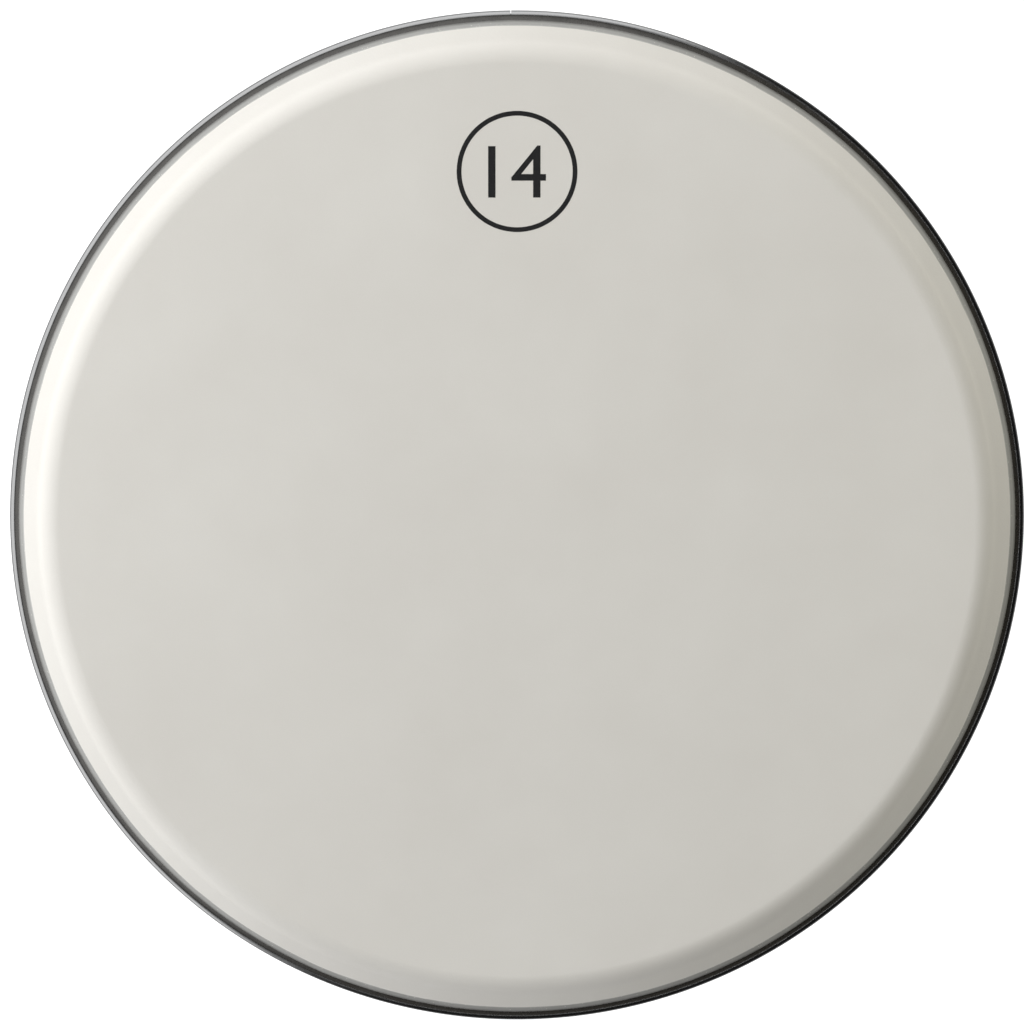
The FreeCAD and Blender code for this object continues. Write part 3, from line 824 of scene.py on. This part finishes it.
class DRUMHEAD_OT_coating(Operator):
    """Lays the sprayed coating on the top film, with its wandering edge and stray drops"""

    bl_idname = "drum_head.coating"
    bl_label = "Coating"

    def execute(self, context):
        parts = settings(context)
        coating, film, hoop = parts.coating, parts.film, parts.hoop
        material = sprayed_coating(coating)
        section, follow = coating_section(coating, film, hoop)
        coat = turn_section(
            "sprayed_coat", section, material, follow,
            Wander=coating.edge_wander, Slope=film.collar_angle, Seed=EDGE_SEED,
        )
        attach(coat, "coating", "batter_coating")
        drops = new_object("stray_drops", bpy.data.meshes.new("stray_drops"))
        edge = collar_point(film, hoop, coating.edge_radius)
        grow(drops, drops_tree(), {
            "Count": coating.drops, "Radius": edge[0], "Height": edge[1], "Slope": film.collar_angle,
            "Reach": coating.drop_reach, "Size": coating.drop_size, "Seed": DROPS_SEED, "Material": material,
        })
        attach(drops, "coating")
        return {"FINISHED"}


class DRUMHEAD_OT_resin(Operator):
    """Casts the resin into the hoop's channel around the films' tails"""

    bl_idname = "drum_head.resin"
    bl_label = "Resin"

    def execute(self, context):
        parts = settings(context)
        section = resin_section(parts.resin, parts.film, parts.hoop)
        attach(turn_section("resin_ring", section, cast_resin(parts.resin), Closed=1), "resin", "resin_bed")
        return {"FINISHED"}


def number_mesh(mark):
    """The printed number as a thin mesh, centred on the origin."""
    words = bpy.data.curves.new("size_number", "FONT")
    words.body = mark.number
    words.align_x, words.align_y = "CENTER", "CENTER"
    words.extrude = mark.thickness / 2
    writing = new_object("size_number", words)
    graph = bpy.context.evaluated_depsgraph_get()
    mesh = bpy.data.meshes.new_from_object(writing.evaluated_get(graph))
    bpy.data.objects.remove(writing)
    bpy.data.curves.remove(words)
    tall = [vertex.co.y for vertex in mesh.vertices]
    wide = [vertex.co.x for vertex in mesh.vertices]
    size = mark.digit_height / (max(tall) - min(tall))
    middle = Vector(((max(wide) + min(wide)) / 2, (max(tall) + min(tall)) / 2, 0.0))
    mesh.transform(Matrix.Diagonal((size, size, 1.0, 1.0)) @ Matrix.Translation(-middle))
    return mesh


def add_ring(work, mark):
    """Adds the printed ring, as thick as the number, around the origin."""
    inner = mark.ring_radius - mark.ring_width
    half = mark.thickness / 2
    corners = [(mark.ring_radius, -half), (mark.ring_radius, half), (inner, half), (inner, -half)]
    rings = []
    for step in range(RING_STEPS):
        turn = math.tau * step / RING_STEPS
        rings.append([work.verts.new((radius * math.cos(turn), radius * math.sin(turn), height))
                      for radius, height in corners])
    for here, there in zip(rings, rings[1:] + rings[:1]):
        for side in range(4):
            after = (side + 1) % 4
            work.faces.new((here[side], there[side], there[after], here[after]))


class DRUMHEAD_OT_mark(Operator):
    """Prints the drum's size in a plain ring on the face"""

    bl_idname = "drum_head.mark"
    bl_label = "Size mark"

    def execute(self, context):
        parts = settings(context)
        mark = parts.mark
        mesh = number_mesh(mark)
        work = bmesh.new()
        work.from_mesh(mesh)
        add_ring(work, mark)
        lift = Vector((*mark.centre, parts.coating.top + mark.thickness / 2))
        bmesh.ops.remove_doubles(work, verts=work.verts, dist=1e-7)
        bmesh.ops.translate(work, vec=lift, verts=work.verts)
        bmesh.ops.recalc_face_normals(work, faces=work.faces)
        work.to_mesh(mesh)
        work.free()
        mesh.materials.append(printed_ink(mark, parts.coating))
        piece = new_object("size_mark", mesh)
        attach(piece, "coating")
        return {"FINISHED"}


def lay_floor(stage):
    """The square floor under the head, which metal doesn't mirror."""
    half = stage.floor_size / 2
    corners = [(-half, -half, 0.0), (half, -half, 0.0), (half, half, 0.0), (-half, half, 0.0)]
    mesh = bpy.data.meshes.new("floor")
    mesh.from_pydata(corners, [], [range(4)])
    mesh.materials.append(pale_floor(stage))
    floor = new_object("floor", mesh)
    floor.visible_glossy = False


def make_room(stage):
    """The room around the head: bright walls and ground on its lit side, dim ones on the other."""
    world = bpy.data.worlds.new("studio")
    world.use_nodes = True
    tree = world.node_tree
    tree.nodes.clear()
    way = put(tree, "ShaderNodeTexCoord").outputs["Generated"]
    rise = put(tree, "ShaderNodeSeparateXYZ", {"Vector": way}).outputs["Z"]
    lit_way = (math.cos(stage.lit_direction), math.sin(stage.lit_direction), 0.0)
    lean = put(tree, "ShaderNodeVectorMath", {0: way, 1: lit_way}, operation="DOT_PRODUCT").outputs["Value"]
    side = fade(tree, lean, DIM_UNTIL, LIT_FROM, first=0.0, last=1.0, interpolation_type="SMOOTHSTEP")
    walls = fade(tree, side, 0.0, 1.0, stage.dim_side, stage.lit_side)
    ground = fade(tree, side, 0.0, 1.0, stage.dim_ground, stage.lit_ground)
    glow = fade(tree, rise, -HORIZON, HORIZON, ground, walls)
    room = put(tree, "ShaderNodeBackground", {"Color": (1.0, 1.0, 1.0, 1.0), "Strength": glow})
    put(tree, "ShaderNodeOutputWorld", {"Surface": room.outputs[0]})
    return world


def add_lamp(name, direction, rise, distance, size, power, tint):
    """A soft light that faces the head from a direction and rise; metal doesn't mirror it."""
    lamp = bpy.data.lights.new(name, "AREA")
    lamp.shape = "RECTANGLE"
    lamp.size, lamp.size_y = size
    lamp.energy = power
    lamp.color = tint
    across = math.cos(rise)
    way = Vector((math.cos(direction) * across, math.sin(direction) * across, math.sin(rise)))
    facing = way.to_track_quat("Z", "Y").to_matrix().to_4x4()
    holder = new_object(name, lamp)
    holder.matrix_world = Matrix.Translation(way * distance) @ facing
    holder.visible_glossy = False


def looking(place, target):
    """Placement of a camera that looks at a target, with +Y upwards in its picture."""
    back = (place - target).normalized()
    right = Vector((0.0, 1.0, 0.0)).cross(back).normalized()
    upright = back.cross(right)
    turn = Matrix((right, upright, back)).transposed().to_4x4()
    return Matrix.Translation(place) @ turn


def add_camera(stage):
    """The camera above the head, which leans towards the seam."""
    camera = bpy.data.cameras.new("camera")
    camera.sensor_width = SENSOR_WIDTH
    camera.lens = SENSOR_WIDTH * stage.distance / stage.view_width
    viewer = new_object("camera", camera)
    aim = Vector((*stage.aim, 0.0))
    back = Vector((0.0, math.sin(stage.tilt), math.cos(stage.tilt)))
    viewer.matrix_world = looking(aim + back * stage.distance, aim)
    return viewer


class DRUMHEAD_OT_stage(Operator):
    """Sets up the pale floor, the room, the soft lights and the camera above the head"""

    bl_idname = "drum_head.stage"
    bl_label = "Stage"

    def execute(self, context):
        stage = settings(context).stage
        scene = context.scene
        lay_floor(stage)
        scene.world = make_room(stage)
        add_lamp("left_light", stage.left_direction, stage.left_rise, stage.lamp_distance,
                 stage.left_size, stage.left_power, stage.left_tint)
        add_lamp("upper_light", stage.upper_direction, stage.upper_rise, stage.lamp_distance,
                 stage.low_size, stage.upper_power, stage.upper_tint)
        add_lamp("right_light", stage.right_direction, stage.right_rise, stage.lamp_distance,
                 stage.low_size, stage.right_power, stage.right_tint)
        scene.camera = add_camera(stage)
        scene.view_settings.view_transform = "Standard"
        return {"FINISHED"}


class DRUMHEAD_PT_sidebar(Panel):
    """Buttons that build the drum head piece by piece"""

    bl_label = "Drum head"
    bl_space_type = "VIEW_3D"
    bl_region_type = "UI"
    bl_category = "Drum head"

    def draw(self, context):
        for operator in OPERATORS:
            self.layout.operator(operator.bl_idname)
        for group in ("hoop", "film", "coating", "resin", "mark", "stage"):
            box = self.layout.box()
            box.label(text=group.capitalize())
            values = getattr(settings(context), group)
            for name in values.__annotations__:
                box.prop(values, name)


OPERATORS = (
    DRUMHEAD_OT_hoop,
    DRUMHEAD_OT_films,
    DRUMHEAD_OT_coating,
    DRUMHEAD_OT_resin,
    DRUMHEAD_OT_mark,
    DRUMHEAD_OT_stage,
)
CLASSES = (
    HoopSettings,
    FilmSettings,
    CoatingSettings,
    ResinSettings,
    MarkSettings,
    StageSettings,
    DrumHeadSettings,
    *OPERATORS,
    DRUMHEAD_PT_sidebar,
)


def register():
    for kind in CLASSES:
        bpy.utils.register_class(kind)
    bpy.types.Scene.drum_head = PointerProperty(type=DrumHeadSettings)


def unregister():
    del bpy.types.Scene.drum_head
    for kind in reversed(CLASSES):
        bpy.utils.unregister_class(kind)


def main():
    register()
    bpy.ops.drum_head.hoop()
    bpy.ops.drum_head.films()
    bpy.ops.drum_head.coating()
    bpy.ops.drum_head.resin()
    bpy.ops.drum_head.mark()
    bpy.ops.drum_head.stage()


if __name__ == "__main__":
    main()
